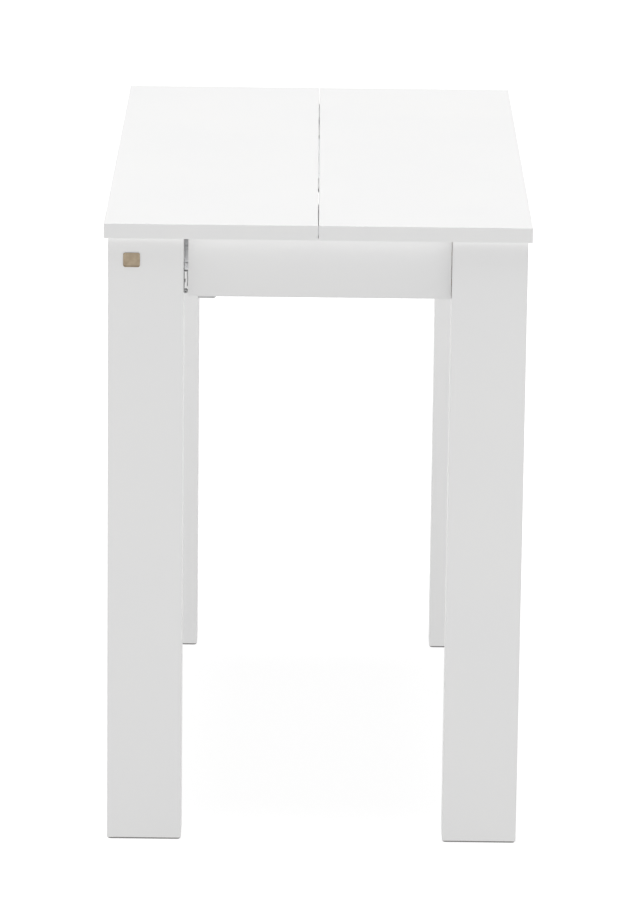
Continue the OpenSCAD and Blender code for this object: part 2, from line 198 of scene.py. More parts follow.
def lathe(profile, steps=40):
    """Closed solid of revolution about Z from (radius, height) points, axis to axis."""
    bm = bmesh.new()
    rings = []
    for radius, height in profile:
        if radius == 0:
            rings.append([bm.verts.new((0, 0, height))])
            continue
        turns = [2 * math.pi * i / steps for i in range(steps)]
        ring = [(radius * math.cos(t), radius * math.sin(t), height) for t in turns]
        rings.append([bm.verts.new(point) for point in ring])
    for a, b in zip(rings, rings[1:]):
        for i in range(steps):
            j = (i + 1) % steps
            if len(a) == 1:
                bm.faces.new((a[0], b[i], b[j]))
            elif len(b) == 1:
                bm.faces.new((a[i], b[0], a[j]))
            else:
                bm.faces.new((a[i], b[i], b[j], a[j]))
    return bm


def extruded(name, outlines, length):
    """Mesh of 2-D outlines (the first is the body, the rest are holes) extruded along X."""
    curve = bpy.data.curves.new(name, "CURVE")
    curve.dimensions = "2D"
    curve.fill_mode = "BOTH"
    curve.extrude = length / 2
    for outline in outlines:
        spline = curve.splines.new("POLY")
        spline.points.add(len(outline) - 1)
        for point, (u, v) in zip(spline.points, outline):
            point.co = (u, v, 0, 1)
        spline.use_cyclic_u = True
    temporary = bpy.data.objects.new(name, curve)
    bpy.context.scene.collection.objects.link(temporary)
    graph = bpy.context.evaluated_depsgraph_get()
    mesh = bpy.data.meshes.new_from_object(temporary.evaluated_get(graph))
    bpy.data.objects.remove(temporary)
    bpy.data.curves.remove(curve)
    mesh.transform(Matrix(((0, 0, 1, 0), (1, 0, 0, 0), (0, 1, 0, 0), (0, 0, 0, 1))))
    bm = bmesh.new()
    bm.from_mesh(mesh)
    bmesh.ops.remove_doubles(bm, verts=bm.verts, dist=1e-7)
    bpy.data.meshes.remove(mesh)
    return bm


def fillet(points, radius, steps=4):
    """The outline with each corner rounded."""
    out = []
    count = len(points)
    for i, corner in enumerate(points):
        corner = Vector(corner)
        before = Vector(points[i - 1]) - corner
        after = Vector(points[(i + 1) % count]) - corner
        r = min(radius, before.length / 2.5, after.length / 2.5)
        start = corner + before.normalized() * r
        end = corner + after.normalized() * r
        for step in range(steps + 1):
            t = step / steps
            out.append(tuple(start * (1 - t) ** 2 + corner * 2 * t * (1 - t) + end * t * t))
    return out


# ---------------------------------------------------------------- materials


class Nodes:
    """A material's node tree, with the few nodes that the recipes below share."""

    def __init__(self, name):
        self.material = bpy.data.materials.new(name)
        self.material.use_nodes = True
        self.tree = self.material.node_tree
        self.shader = self.tree.nodes["Principled BSDF"]
        self.place = self.add("ShaderNodeTexCoord").outputs["Object"]

    def add(self, kind, **values):
        node = self.tree.nodes.new(kind)
        for key, value in values.items():
            setattr(node, key, value)
        return node

    def link(self, source, target):
        self.tree.links.new(source, target)

    def stretched(self, scale):
        mapping = self.add("ShaderNodeMapping")
        mapping.inputs["Scale"].default_value = scale
        self.link(self.place, mapping.inputs["Vector"])
        return mapping.outputs["Vector"]

    def noise(self, scale, detail=2.0, stretch=None, rough=0.5):
        node = self.add("ShaderNodeTexNoise")
        node.inputs["Scale"].default_value = scale
        node.inputs["Detail"].default_value = detail
        node.inputs["Roughness"].default_value = rough
        self.link(self.stretched(stretch) if stretch else self.place, node.inputs["Vector"])
        return node.outputs["Fac"]

    def ramp(self, source, stops):
        node = self.add("ShaderNodeValToRGB")
        ramp = node.color_ramp
        while len(ramp.elements) < len(stops):
            ramp.elements.new(0.5)
        for element, (position, colour) in zip(ramp.elements, stops):
            element.position = position
            element.color = (*colour, 1) if len(colour) == 3 else colour
        self.link(source, node.inputs["Fac"])
        return node.outputs["Color"]

    def between(self, source, low, high, start=0.3, end=0.7):
        node = self.add("ShaderNodeMapRange")
        node.inputs["From Min"].default_value = start
        node.inputs["From Max"].default_value = end
        node.inputs["To Min"].default_value = low
        node.inputs["To Max"].default_value = high
        self.link(source, node.inputs["Value"])
        return node.outputs["Result"]

    def bump(self, height, distance, below=None):
        node = self.add("ShaderNodeBump")
        node.inputs["Distance"].default_value = distance
        node.inputs["Strength"].default_value = 1.0
        self.link(height, node.inputs["Height"])
        if below:
            self.link(below, node.inputs["Normal"])
        return node.outputs["Normal"]

    def mix(self, factor, a, b, blend="MIX"):
        node = self.add("ShaderNodeMix", data_type="RGBA", blend_type=blend)
        for key, value in ((0, factor), (6, a), (7, b)):
            if isinstance(value, (int, float, tuple)):
                node.inputs[key].default_value = value
            else:
                self.link(value, node.inputs[key])
        return node.outputs[2]

    def finish(self, colour, roughness, normal=None, metallic=0.0, specular=0.5):
        for key, value in (("Base Color", colour), ("Roughness", roughness)):
            if isinstance(value, (int, float)):
                self.shader.inputs[key].default_value = value
            elif isinstance(value, tuple):
                self.shader.inputs[key].default_value = (*value, 1)
            else:
                self.link(value, self.shader.inputs[key])
        if normal:
            self.link(normal, self.shader.inputs["Normal"])
        self.shader.inputs["Metallic"].default_value = metallic
        self.shader.inputs["Specular IOR Level"].default_value = specular
        return self.material


def grey(value):
    return (value, value, value)


def melamine(name, white, grain_stretch):
    """White melamine foil: pearl-like press texture, a trace of wave, faint handling marks."""
    n = Nodes(name)
    cloud = n.noise(5, detail=3)
    warm = (white, white * 0.998, white * 0.992)
    colour = n.ramp(cloud, [(0.3, grey(white * 0.985)), (0.7, warm)])
    smudge = n.noise(9, detail=5, stretch=grain_stretch, rough=0.62)
    marks = n.ramp(smudge, [(0.69, grey(1.0)), (0.78, grey(0.955))])
    colour = n.mix(1.0, colour, marks, "MULTIPLY")
    rough = n.between(smudge, 0.34, 0.46)
    wave = n.bump(n.noise(14, detail=1), 0.00012)
    pearl = n.bump(n.noise(1500, detail=3, rough=0.6), 0.000018, below=wave)
    return n.finish(colour, rough, pearl, specular=0.45)


def edge_band(name, white):
    """White plastic edge band, a shade off the foil and scored lengthwise by the trimming knife."""
    n = Nodes(name)
    tone = n.noise(22, detail=2)
    colour = n.ramp(tone, [(0.3, grey(white * 0.975)), (0.7, (white, white * 0.997, white * 0.99))])
    score = n.noise(900, detail=2, stretch=(0.06, 0.06, 1.0))
    normal = n.bump(score, 0.00002)
    return n.finish(colour, n.between(tone, 0.38, 0.5), normal, specular=0.45)


def chipboard():
    n = Nodes("chipboard")
    chips = n.add("ShaderNodeTexVoronoi")
    chips.inputs["Scale"].default_value = 420
    n.link(n.place, chips.inputs["Vector"])
    tone = n.ramp(chips.outputs["Color"], [(0.15, (0.36, 0.24, 0.13)), (0.55, (0.56, 0.41, 0.25)),
                                           (0.9, (0.7, 0.56, 0.38))])
    dust = n.noise(900, detail=3)
    colour = n.mix(n.between(dust, 0.0, 0.35), tone, (0.3, 0.2, 0.11, 1))
    normal = n.bump(chips.outputs["Distance"], 0.0003)
    return n.finish(colour, 0.88, normal, specular=0.2)


def aluminium():
    """Mill-finish extrusion: die lines run along X, with a few rubbed streaks."""
    n = Nodes("aluminium")
    lines = n.noise(1400, detail=3, stretch=(0.008, 1, 1), rough=0.65)
    cloud = n.noise(30, detail=3, stretch=(0.15, 1, 1))
    colour = n.mix(n.between(cloud, 0, 1), (0.80, 0.81, 0.825, 1), (0.88, 0.885, 0.895, 1))
    rough = n.between(lines, 0.26, 0.42)
    return n.finish(colour, rough, n.bump(lines, 0.00002), metallic=0.65)


def zinc_steel(name, base, dark):
    n = Nodes(name)
    spangle = n.add("ShaderNodeTexVoronoi")
    spangle.inputs["Scale"].default_value = 260
    n.link(n.place, spangle.inputs["Vector"])
    cloud = n.noise(60, detail=4)
    colour = n.mix(n.between(cloud, 0, 1), (*grey(base), 1), (*grey(dark), 1))
    rough = n.between(spangle.outputs["Color"], 0.28, 0.46, 0, 1)
    fine = n.noise(1800, detail=2)
    return n.finish(colour, rough, n.bump(fine, 0.000012), metallic=1.0)


def nylon(name, tone, rough):
    n = Nodes(name)
    cloud = n.noise(40, detail=3)
    colour = n.mix(n.between(cloud, 0, 1), (*grey(tone), 1), (*grey(tone * 1.35), 1))
    fine = n.noise(2200, detail=2)
    return n.finish(colour, n.between(cloud, rough, rough + 0.12), n.bump(fine, 0.00003))


def felt_and_contact_shade():
    n = Nodes("pad_felt_and_contact_shade")
    fibre = n.noise(1600, detail=5, rough=0.75)
    cloud = n.noise(120, detail=3)
    # dark grey fibre tones: partly the felt's own colour, partly a painted contact shadow under the
    # leg
    colour = n.mix(n.between(fibre, 0, 1), (0.16, 0.16, 0.165, 1), (0.32, 0.32, 0.325, 1))
    colour = n.mix(n.between(cloud, 0, 0.3), colour, (0.36, 0.35, 0.34, 1))
    return n.finish(colour, 0.9, n.bump(fibre, 0.00015), specular=0.2)


def beech():
    n = Nodes("beech")
    rings = n.noise(260, detail=4, stretch=(0.08, 0.08, 1))
    colour = n.ramp(rings, [(0.3, (0.52, 0.34, 0.19)), (0.7, (0.72, 0.53, 0.33))])
    return n.finish(colour, 0.6, n.bump(rings, 0.0001))


def bronze():
    """Badge plate: brushed along X, a little darker where it has tarnished."""
    n = Nodes("bronze")
    brush = n.noise(2600, detail=3, stretch=(0.02, 1, 1), rough=0.7)
    cloud = n.noise(150, detail=3)
    colour = n.mix(n.between(cloud, 0, 1), (0.32, 0.255, 0.18, 1), (0.42, 0.345, 0.25, 1))
    return n.finish(colour, n.between(brush, 0.3, 0.5), n.bump(brush, 0.00003), metallic=0.85)


WHITE = 0.83
FOIL = melamine("melamine_top", WHITE, (1, 0.35, 1))
FOIL_UPRIGHT = melamine("melamine_upright", WHITE, (1, 1, 0.3))
BAND = edge_band("edge_band", WHITE * 0.99)
CHIPBOARD = chipboard()
ALUMINIUM = aluminium()
STEEL = zinc_steel("zinc_steel", 0.62, 0.5)
STRAP_STEEL = zinc_steel("strap_steel", 0.46, 0.36)
DARK_STEEL = zinc_steel("dark_steel", 0.38, 0.28)
NYLON = nylon("nylon_black", 0.03, 0.42)
WHITE_PLASTIC = nylon("plastic_white", 0.62, 0.35)
# pad material: dark grey felt that doubles as a painted contact shadow under each leg
FELT_AND_CONTACT_SHADE = felt_and_contact_shade()
BEECH = beech()
BRONZE = bronze()

# ---------------------------------------------------------------- boards

BAND_T = 1.0 * MM       # edge band thickness
BAND_ROUND = 0.25 * MM  # rounding of a band's outer edges
HAIRLINE = 0.07 * MM    # arris either side of a band's glue line
EASED = 0.35 * MM       # arris of an edge without a band
BODY_OF = {n: b for b, names in frame["record"]["behaviour"]["bodies"].items() for n in names}


def board_core(name, lo, hi, banded, materials, raw_sides):
    bm = box_bmesh(lo, hi)
    weight = bm.edges.layers.float.new("bevel_weight_edge")
    planes = [(side_axis(side)[0], (hi if side_axis(side)[1] > 0 else lo)[side_axis(side)[0]])
              for side in banded]
    for edge in bm.edges:
        glued = any(on_plane(edge, axis, level) for axis, level in planes)
        edge[weight] = HAIRLINE / EASED if glued else 1.0
    bm.normal_update()
    for face in bm.faces:
        for side in raw_sides:
            axis, sign = side_axis(side)
            if face.normal[axis] * sign > 0.9:
                face.material_index = 1
    piece = new_object(name, mesh_from(bm, name), *materials)
    rounding = piece.modifiers.new("ease", "BEVEL")
    rounding.limit_method = "WEIGHT"
    rounding.width = EASED
    rounding.segments = 2
    return apply_modifiers(piece)


def band_strip(name, lo, hi, side, butted):
    """One glued strip. The trimmer rounds its outer edges, but not where it butts on another."""
    axis, sign = side_axis(side)
    bm = box_bmesh(lo, hi)
    outer = (hi if sign > 0 else lo)[axis]
    rounded = [e for e in bm.edges if on_plane(e, axis, outer)
               and not any(on_plane(e, *joint) for joint in butted)]
    bevel(bm, rounded, BAND_ROUND, 4)
    inner = (lo if sign > 0 else hi)[axis]
    bevel(bm, [e for e in bm.edges if on_plane(e, axis, inner)], HAIRLINE, 1)
    return new_object(name, mesh_from(bm, name), BAND)


def board(node, banded, foil, cutters=(), raw_sides=()):
    """A board with glued edge bands. The sides named first run over the ends of the later ones."""
    lo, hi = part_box(node)
    strips = []
    butted = []
    for side in banded:
        axis, sign = side_axis(side)
        strip_lo, strip_hi = lo.copy(), hi.copy()
        if sign > 0:
            strip_lo[axis] = hi[axis] - BAND_T
            hi[axis] -= BAND_T
        else:
            strip_hi[axis] = lo[axis] + BAND_T
            lo[axis] += BAND_T
        name = f"{node}.band_{'pos' if sign > 0 else 'neg'}_{side[1]}"
        strips.append((name, strip_lo, strip_hi, side, list(butted)))
        butted.append((axis, (hi if sign > 0 else lo)[axis]))
    pieces = [board_core(f"{node}.core", lo, hi, banded, (foil, CHIPBOARD), raw_sides)]
    pieces += [band_strip(*strip) for strip in strips]
    for piece in pieces:
        if cutters:
            cut(piece, cutters)
        smooth(piece)
        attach(piece, BODY_OF[node])
        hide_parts(node)


def slot_cutter(tongue, slack):
    """Space for a tongue: its CAD box and a little more all round."""
    lo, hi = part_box(tongue)
    grow = Vector((slack, slack, slack))
    return new_object("cutter", mesh_from(box_bmesh(lo - grow, hi + grow), "cutter"), CHIPBOARD)


def bore_cutter(centre, axis, radius, length):
    bm = bmesh.new()
    bmesh.ops.create_cone(bm, cap_ends=True, segments=48, radius1=radius, radius2=radius,
                          depth=length)
    turn = Vector((0, 0, 1)).rotation_difference(Vector(axis)).to_matrix().to_4x4()
    bmesh.ops.transform(bm, matrix=Matrix.Translation(centre) @ turn, verts=bm.verts)
    return new_object("cutter", mesh_from(bm, "cutter"), CHIPBOARD)


BORE_PLAY = 0.1 * MM    # room round a cam in its bore
BORE_SHIFT = 0.5 * MM   # how far the cutter moves out through the board's face
BORE_EXTRA = 1.2 * MM   # how much longer than the cam the cutter is


def cam_cutters(node, limits):
    """Bores for the cams of a hardware node that lie inside a board's box."""
    lo, hi = limits
    cutters = []
    for cam_lo, cam_hi, _ in solids_of(node):
        centre = (cam_lo + cam_hi) / 2
        if all(lo[i] - MM < centre[i] < hi[i] + MM for i in range(3)):
            size = cam_hi - cam_lo
            axis = min(range(3), key=lambda i: size[i])
            direction = [0, 0, 0]
            direction[axis] = 1
            outward = 1 if abs(centre[axis] - lo[axis]) > abs(hi[axis] - centre[axis]) else -1
            centre[axis] += outward * BORE_SHIFT
            radius = max(size) / 2 + BORE_PLAY
            cutters.append(bore_cutter(centre, direction, radius, size[axis] + BORE_EXTRA))
    return cutters


def build_tops():
    for side, slack in (("right", 0.1 * MM), ("left", 0.3 * MM)):
        cutters = [slot_cutter(f"tongue_{end}", slack) for end in ("front", "back")]
        board(f"top_{side}", ("-y", "+y", "-x", "+x"), FOIL, cutters)
        drop(cutters)


def build_legs():
    for side in ("right", "left"):
        for end in ("front", "back"):
            board(f"leg_{end}_{side}", ("-x", "+x"), FOIL_UPRIGHT, raw_sides=("-z", "+z"))


def build_rails():
    for side in ("right", "left"):
        cutters = cam_cutters(f"cam_locks_{side}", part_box(f"long_rail_{side}"))
        board(f"long_rail_{side}", ("-z",), FOIL_UPRIGHT, cutters, raw_sides=("-y", "+y", "+z"))
        drop(cutters)


def build_aprons():
    for end in ("front", "back"):
        node = f"apron_{end}"
        cutters = cam_cutters("cam_locks_right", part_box(node))
        board(node, ("-z", "+z", "-x"), FOIL_UPRIGHT, cutters, raw_sides=("+x",))
        drop(cutters)


# ---------------------------------------------------------------- pads, badge


PAD_CORNER = 4 * MM
PAD_RIM = 0.5 * MM      # rounding where the pad meets the floor
PAD_TOP = 0.3 * MM


def build_pads():
    """Felt pad under each leg, with a rounded rim. Its dark grey is partly the felt's own colour
    and partly a painted contact shadow under the leg.
    """
    for side in ("right", "left"):
        for end in ("front", "back"):
            node = f"foot_{end}_{side}"
            lo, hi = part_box(node)
            bm = box_bmesh(lo, hi)
            upright = [e for e in bm.edges if abs(e.verts[0].co.z - e.verts[1].co.z) > MM]
            bevel(bm, upright, PAD_CORNER, 6)
            rim = [e for e in bm.edges if on_plane(e, 2, lo.z)]
            bevel(bm, rim, PAD_RIM, 3)
            top = [e for e in bm.edges if on_plane(e, 2, hi.z)]
            bevel(bm, top, PAD_TOP, 2)
            pad = smooth(new_object(f"{node}.pad", mesh_from(bm, node), FELT_AND_CONTACT_SHADE))
            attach(pad, BODY_OF[node])
            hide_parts(node)


def rounded_outline(width, height, radius, steps=8):
    out = []
    for cx, cy, start in ((1, 1, 0), (-1, 1, 90), (-1, -1, 180), (1, -1, 270)):
        for i in range(steps + 1):
            turn = math.radians(start + 90 * i / steps)
            out.append((cx * (width / 2 - radius) + radius * math.cos(turn),
                        cy * (height / 2 - radius) + radius * math.sin(turn)))
    return out


def build_badge():
    """Blank bronze plate: rounded rim, sunk field with a fine line inside it."""
    node = "badge_plate"
    lo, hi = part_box(node)
    centre = (lo + hi) / 2
    width, height = hi.x - lo.x, hi.z - lo.z
    rise = hi.y - lo.y
    levels = [  # inset from the outline, height over the leg's face
        (0, 0), (0, rise * 0.6), (0.12 * MM, rise * 0.88), (0.35 * MM, rise), (0.75 * MM, rise),
        (0.95 * MM, rise * 0.72), (1.9 * MM, rise * 0.7), (2.0 * MM, rise * 0.55),
        (2.2 * MM, rise * 0.55), (2.3 * MM, rise * 0.7), (5.5 * MM, rise * 0.7),
    ]
    corner = 2.5 * MM
    bm = bmesh.new()
    loops = []
    for inset, level in levels:
        radius = max(corner - inset, 0.3 * MM)
        outline = rounded_outline(width - 2 * inset, height - 2 * inset, radius)
        loops.append([bm.verts.new((centre.x + u, hi.y - level, centre.z + v)) for u, v in outline])
    for a, b in zip(loops, loops[1:]):
        for i in range(len(a)):
            j = (i + 1) % len(a)
            bm.faces.new((a[i], a[j], b[j], b[i]))
    bm.faces.new(loops[0])
    bm.faces.new(loops[-1])
    plate = smooth(new_object("badge_plate.plate", mesh_from(bm, node), BRONZE))
    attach(plate, BODY_OF[node])
    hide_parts(node)


# ---------------------------------------------------------------- screws, cams, brackets


PAN_HEAD_D = 8 * MM
PAN_HEAD_H = 2 * MM
PAN_SHANK_D = 4 * MM
PAN_LENGTH = 16 * MM
FLAT_HEAD_D = 9 * MM
FLAT_CONE_H = 2 * MM
FLAT_SHANK_D = 5 * MM
FLAT_LENGTH = 12 * MM
CAM_D = 15 * MM
CAM_DEPTH = 12.5 * MM


def cross_cutters(reach, depth, blade):
    """Two blades of a cross-shaped driver recess, open at local z = 0 and narrowing inward."""
    cutters = []
    for turn in (0, math.pi / 2):
        block = box_bmesh((-reach, -blade / 2, -MM), (reach, blade / 2, depth))
        for v in block.verts:
            if v.co.z > 0:
                v.co.x *= 0.35
                v.co.y *= 0.7
        bmesh.ops.rotate(block, verts=block.verts, cent=(0, 0, 0),
                         matrix=Matrix.Rotation(turn, 3, "Z"))
        cutters.append(new_object("cutter", mesh_from(block, "cutter"), STEEL))
    return cutters


def recessed(bm, reach, depth, blade):
    """The mesh of a screw head with a cross recess at its outer end (local z = 0)."""
    piece = new_object("master", mesh_from(bm, "master"), STEEL)
    cutters = cross_cutters(reach, depth, blade)
    cut(piece, cutters)
    drop(cutters)
    mesh = piece.data
    bpy.data.objects.remove(piece)
    mesh.materials.clear()
    return mesh


def pan_head_screw(head_d, head_h, shank_d, length):
    """Dome head at local z = 0, thread ridges down a pointed shank."""
    r, s = head_d / 2, shank_d / 2
    dome = [(r * math.sin(a), head_h * 0.55 * (1 - math.cos(a))) for a in
            [math.radians(t) for t in (0, 18, 36, 54, 70, 82, 90)]]
    profile = dome + [(r, head_h * 0.85), (r - 0.15 * MM, head_h), (s, head_h)]
    pitch = 1.4 * MM
    z = head_h + pitch
    while z < length - 2.5 * MM:
        profile += [(s * 0.8, z), (s, z + pitch * 0.3), (s * 0.8, z + pitch * 0.6)]
        z += pitch
    profile += [(s * 0.75, length - 2 * MM), (0, length)]
    return recessed(lathe(profile, 32), r * 0.6, head_h * 0.75, 0.9 * MM)


def flat_head_screw(head_d, cone_h, shank_d, length):
    r, s = head_d / 2, shank_d / 2
    profile = [(0, 0.05 * MM), (r - 0.15 * MM, 0.05 * MM), (r, 0.15 * MM), (s, cone_h),
               (s, length - MM), (s - 0.5 * MM, length), (0, length)]
    return recessed(lathe(profile, 32), r * 0.6, cone_h * 0.8, 1.0 * MM)


def cam_disc(diameter, depth):
    """Cast cam: rounded rim, a shallow ring, and a cross recess."""
    r = diameter / 2
    profile = [(0, 0.5 * MM), (r * 0.5, 0.5 * MM), (r * 0.54, 0.15 * MM), (r * 0.86, 0.1 * MM),
               (r * 0.9, 0), (r - 0.3 * MM, 0), (r, 0.3 * MM), (r, depth - 0.5 * MM),
               (r - 0.5 * MM, depth), (0, depth)]
    return recessed(lathe(profile, 48), r * 0.42, 3 * MM, 1.4 * MM)


def replace_hardware(name, node, master, matrices):
    """Steel copies of one master mesh, in place of a CAD node's plain solids."""
    piece = copies(name, master, matrices, STEEL)
    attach(piece, BODY_OF[node])
    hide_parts(node)


def build_screws():
    pan = pan_head_screw(PAN_HEAD_D, PAN_HEAD_H, PAN_SHANK_D, PAN_LENGTH)
    flat = flat_head_screw(FLAT_HEAD_D, FLAT_CONE_H, FLAT_SHANK_D, FLAT_LENGTH)
    for node in ("bracket_screws_right", "bracket_screws_left", "stay_screws"):
        replace_hardware(f"{node}.heads", node, pan, [head_frame(s) for s in solids_of(node)])
    for node in ("hanger_screws_right", "hanger_screws_left"):
        pans, flats = [], []
        for solid in solids_of(node):
            widest = sorted(solid[1] - solid[0])[1]
            (pans if widest < PAN_HEAD_D + 0.5 * MM else flats).append(head_frame(solid))
        replace_hardware(f"{node}.pan", node, pan, pans)
        replace_hardware(f"{node}.flat", node, flat, flats)


def cam_frame(solid, board_node):
    """Local Z runs from the board's inner face into the board."""
    lo, hi, _ = solid
    size = hi - lo
    axis = min(range(3), key=lambda i: size[i])
    centre = (lo + hi) / 2
    board_lo, board_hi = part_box(board_node)
    at_low = abs(lo[axis] - board_lo[axis]) < abs(board_hi[axis] - hi[axis])
    z = Vector((0, 0, 0))
    z[axis] = 1 if at_low else -1
    x = Vector((0, 0, 0))
    x[(axis + 1) % 3] = 1
    y = z.cross(x)
    start = centre.copy()
    start[axis] = lo[axis] if at_low else hi[axis]
    return Matrix([[x[i], y[i], z[i], start[i]] for i in range(3)] + [[0, 0, 0, 1]])


def build_cams():
    disc = cam_disc(CAM_D, CAM_DEPTH)
    for side in ("right", "left"):
        node = f"cam_locks_{side}"
        matrices = []
        for solid in solids_of(node):
            centre = (solid[0] + solid[1]) / 2
            near_rail = min(solid[1][i] - solid[0][i] for i in range(3)) == solid[1].x - solid[0].x
            end = "front" if centre.y < 0 else "back"
            matrices.append(cam_frame(solid, f"long_rail_{side}" if near_rail else f"apron_{end}"))
        replace_hardware(f"{node}.discs", node, disc, matrices)


BRACKET_T = 2.5 * MM
BRACKET_BEND = 4 * MM           # outer radius of the fold
BRACKET_CORNER = 6 * MM         # rounding of the arms' free corners
RIB_HALF = (2.2 * MM, 6 * MM, 1.4 * MM)


def angle_bracket(lo, hi, inward):
    """Folded steel angle: bent with a radius, rounded arm ends and a pressed stiffening rib."""
    t, bend, steps = BRACKET_T, BRACKET_BEND, 6
    arm = hi.z - lo.z
    outer, inner = [], []
    for i in range(steps + 1):
        turn = math.radians(90 * i / steps)
        outer.append((bend - bend * math.cos(turn), -bend + bend * math.sin(turn)))
        r = bend - t
        inner.append((bend - r * math.cos(turn), -bend + r * math.sin(turn)))
    outline = [(0, -arm)] + outer + [(arm, 0), (arm, -t)] + inner[::-1] + [(t, -arm)]
    width = hi.x - lo.x
    bm = extruded("bracket", [outline], width)
    corners = []
    for edge in bm.edges:
        a, b = (v.co for v in edge.verts)
        if abs((a - b).length - t) > 0.01 * MM or abs(abs(a.x) - width / 2) > 1e-6:
            continue
        if all(min(abs(p.z + arm), abs(p.y - arm)) < 1e-6 for p in (a, b)):
            corners.append(edge)
    bevel(bm, corners, BRACKET_CORNER, 6)
    rib = bmesh.new()
    bmesh.ops.create_uvsphere(rib, u_segments=20, v_segments=12, radius=1)
    size = Matrix.Diagonal((*RIB_HALF, 1))
    bmesh.ops.transform(rib, matrix=size, verts=rib.verts)
    turn = Matrix.Rotation(math.radians(-45), 4, "X")
    place = Matrix.Translation((0, t * 1.1, -t * 1.1)) @ turn
    bmesh.ops.transform(rib, matrix=place, verts=rib.verts)
    mesh = mesh_from(rib, "rib")
    bm.from_mesh(mesh)
    bpy.data.meshes.remove(mesh)
    corner_y = lo.y if inward > 0 else hi.y
    flip = Matrix.Diagonal((1, inward, 1, 1))
    corner = Matrix.Translation(((lo.x + hi.x) / 2, corner_y, hi.z))
    bmesh.ops.transform(bm, matrix=corner @ flip, verts=bm.verts)
    return bm


def build_brackets():
    for node in ("leg_brackets_right", "leg_brackets_left", "apron_brackets"):
        for i, (lo, hi, _) in enumerate(solids_of(node)):
            bm = angle_bracket(lo, hi, 1 if lo.y < 0 else -1)
            piece = smooth(new_object(f"{node}.angle{i}", mesh_from(bm, node), STEEL))
            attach(piece, BODY_OF[node])
            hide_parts(node)


# ---------------------------------------------------------------- apron stays

STAY_T = 2.5 * MM
STAY_CORNER = 3 * MM    # cut corner at the foot of a stay's plate
STAY_BORE = 2 * MM      # radius of its screw holes
STAY_EASED = 0.3 * MM   # rounding of its rims


def stay_profile(reach, low, arm_top, high):
    """Side view: the plate stands on the apron (u = 0) and the arm runs inwards from it."""
    arm_low = arm_top - STAY_T
    points = [(0, low), (STAY_T, low), (STAY_T, arm_low), (reach, arm_low), (reach, arm_top),
              (STAY_T, arm_top), (STAY_T, high), (0, high)]
    return fillet(points, 0.5 * MM, 3)


def corner_cutter(x, y, z):
    """Block that takes a 45 degree corner off a stay's plate."""
    half = 8 * MM
    bm = box_bmesh((-half, -half, -half), (half, half, half))
    out = Vector((1, 0, -1)).normalized()
    place = Vector((x - STAY_CORNER / 2, y, z + STAY_CORNER / 2)) + out * half
    turn = Matrix.Rotation(math.radians(45), 4, "Y")
    bmesh.ops.transform(bm, matrix=Matrix.Translation(place) @ turn, verts=bm.verts)
    return new_object("cutter", mesh_from(bm, "cutter"), STRAP_STEEL)


def build_stays():
    """Strap that ties the free end of each apron to the first runner member."""
    for end, inward in (("front", 1), ("back", -1)):
        node = f"apron_stay_{end}"
        lo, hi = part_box(node)
        plate_y = lo.y if inward > 0 else hi.y
        width = hi.x - lo.x
        profile = stay_profile(hi.y - lo.y, lo.z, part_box(f"runner_{end}_1")[0].z, hi.z)
        bm = extruded(node, [profile], width)
        bmesh.ops.transform(bm, matrix=Matrix.Translation(((lo.x + hi.x) / 2, plate_y, 0))
                            @ Matrix.Diagonal((1, inward, 1, 1)), verts=bm.verts)
        bm.normal_update()
        rims = [e for e in bm.edges if (on_plane(e, 0, lo.x) or on_plane(e, 0, hi.x))
                and e.calc_face_angle() > 1]
        bevel(bm, rims, STAY_EASED, 2)
        stay = new_object(f"{node}.strap", mesh_from(bm, node), STRAP_STEEL)
        cutters = [corner_cutter(hi.x, plate_y, lo.z)]
        for screw_lo, screw_hi, _ in solids_of("stay_screws"):
            centre = (screw_lo + screw_hi) / 2
            if centre.y * inward < 0:
                size = screw_hi - screw_lo
                axis = [1 if s == max(size) else 0 for s in size]
                cutters.append(bore_cutter(centre, axis, STAY_BORE, 2 * max(size)))
        cut(stay, cutters)
        drop(cutters)
        smooth(stay)
        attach(stay, BODY_OF[node])
        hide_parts(node)


# ---------------------------------------------------------------- runners

MEMBERS = 5
GROOVE_MOUTH = 2.0 * MM
GROOVE_DEPTH = 5.6 * MM
GROOVE_NECK = 8.6 * MM
GROOVE_HEAD = 16.6 * MM
WALL = 2.5 * MM
SCORE = 0.5 * MM        # depth of the decorative lines pressed by the die
CORNER = 0.8 * MM


def member_outlines(width, height):
    """Outer outline with the glide groove on its inner face (u = 0), then the three chambers."""
    top = height / 2
    neck, head = GROOVE_NECK / 2, GROOVE_HEAD / 2
    line = 1.2 * MM
    marks = (-top + 9 * MM, -2.6 * MM, 2.6 * MM, top - 9 * MM)
    face = []
    for v in marks:
        face += [(width, v - line / 2), (width - SCORE, v), (width, v + line / 2)]
    inner = []
    for v in (top - 9 * MM, -top + 9 * MM):
        inner.append([(0, v + line / 2), (SCORE, v), (0, v - line / 2)])
    body = [(0, -top), (width, -top)] + face + [(width, top), (0, top)] + inner[0]
    body += [(0, neck), (GROOVE_MOUTH, neck), (GROOVE_MOUTH, head), (GROOVE_DEPTH, head)]
    body += [(GROOVE_DEPTH, -head), (GROOVE_MOUTH, -head), (GROOVE_MOUTH, -neck), (0, -neck)]
    body += inner[1]
    chambers = []
    for low, high in ((-top + WALL, -head - WALL), (head + WALL, top - WALL)):
        chambers.append([(WALL, low), (width - WALL, low), (width - WALL, high), (WALL, high)])
    chambers.append([(GROOVE_DEPTH + WALL, -head), (width - WALL, -head), (width - WALL, head),
                     (GROOVE_DEPTH + WALL, head)])
    return [fillet(body, 0.35 * MM, 3)] + [fillet(c, CORNER, 4) for c in chambers]


